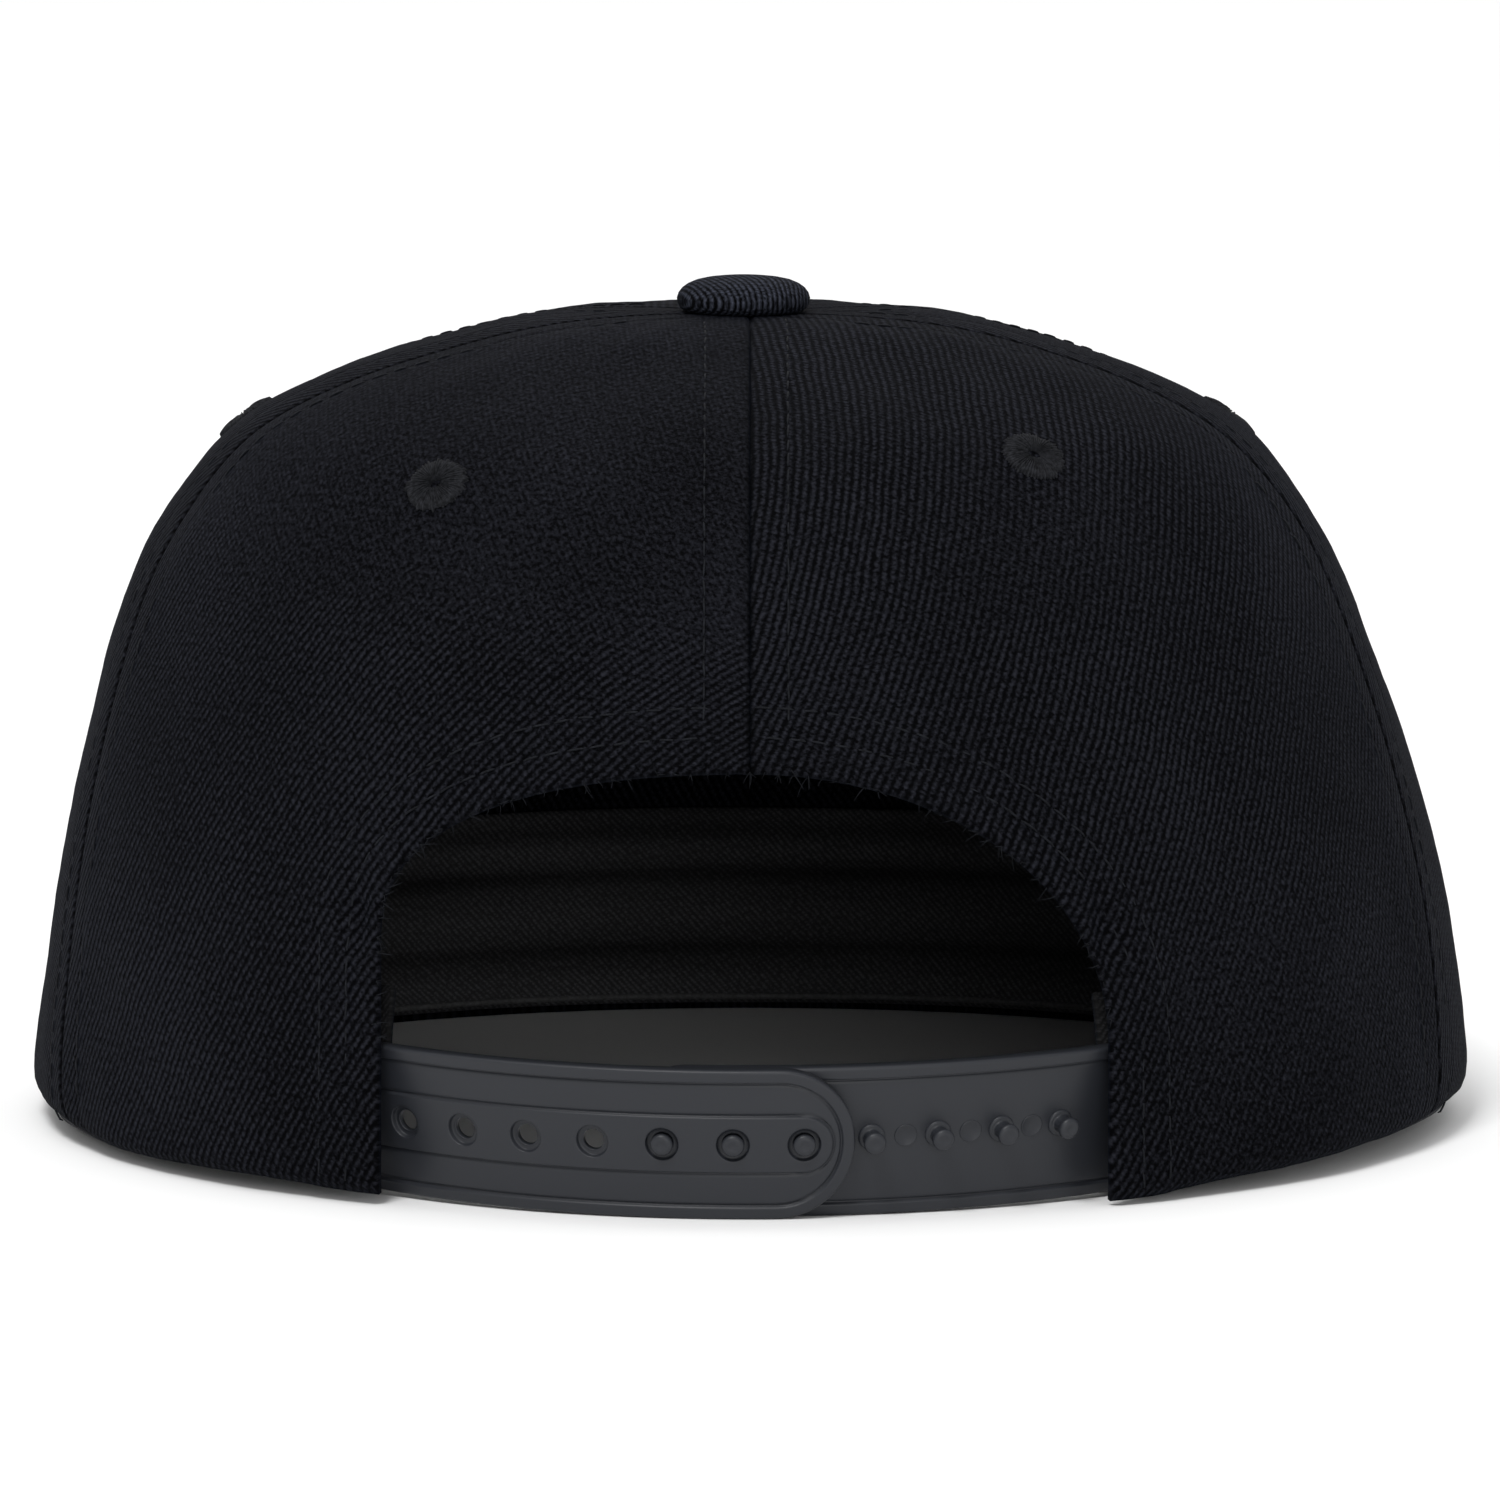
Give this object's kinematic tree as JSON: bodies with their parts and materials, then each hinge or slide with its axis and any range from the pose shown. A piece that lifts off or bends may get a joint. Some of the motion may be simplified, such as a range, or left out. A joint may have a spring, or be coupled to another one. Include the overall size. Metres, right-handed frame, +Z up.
{
  "type": "snapback cap",
  "caption": "Plain black twill snapback cap with a flat visor, covered button, embroidered eyelets and a grey snap strap closure.",
  "frame": {"origin": "under the middle of the whole cap's bounding box, on the surface that the cap rests on", "axes": "+Z up, +Y from the strap to the visor's tip, +X to the wearer's right"},
  "size_m": [0.203, 0.256, 0.1189],
  "materials": {
    "crown_twill": "matt twill",
    "eyelet_thread": "embroidery thread",
    "sweatband_twill": "matt fine twill",
    "strap_plastic": "matt moulded"
  },
  "bodies": {
    "root": {"panel_back_left": "crown_twill", "panel_back_right": "crown_twill", "panel_side_left": "crown_twill", "panel_side_right": "crown_twill", "panel_front_left": "crown_twill", "panel_front_right": "crown_twill", "button": "crown_twill", "visor": "crown_twill", "eyelet_back_left": "eyelet_thread", "eyelet_back_right": "eyelet_thread", "eyelet_side_left": "eyelet_thread", "eyelet_side_right": "eyelet_thread", "eyelet_front_left": "eyelet_thread", "eyelet_front_right": "eyelet_thread", "sweatband": "sweatband_twill", "strap_left": "strap_plastic", "strap_right": "strap_plastic"}
  },
  "joints": []
}
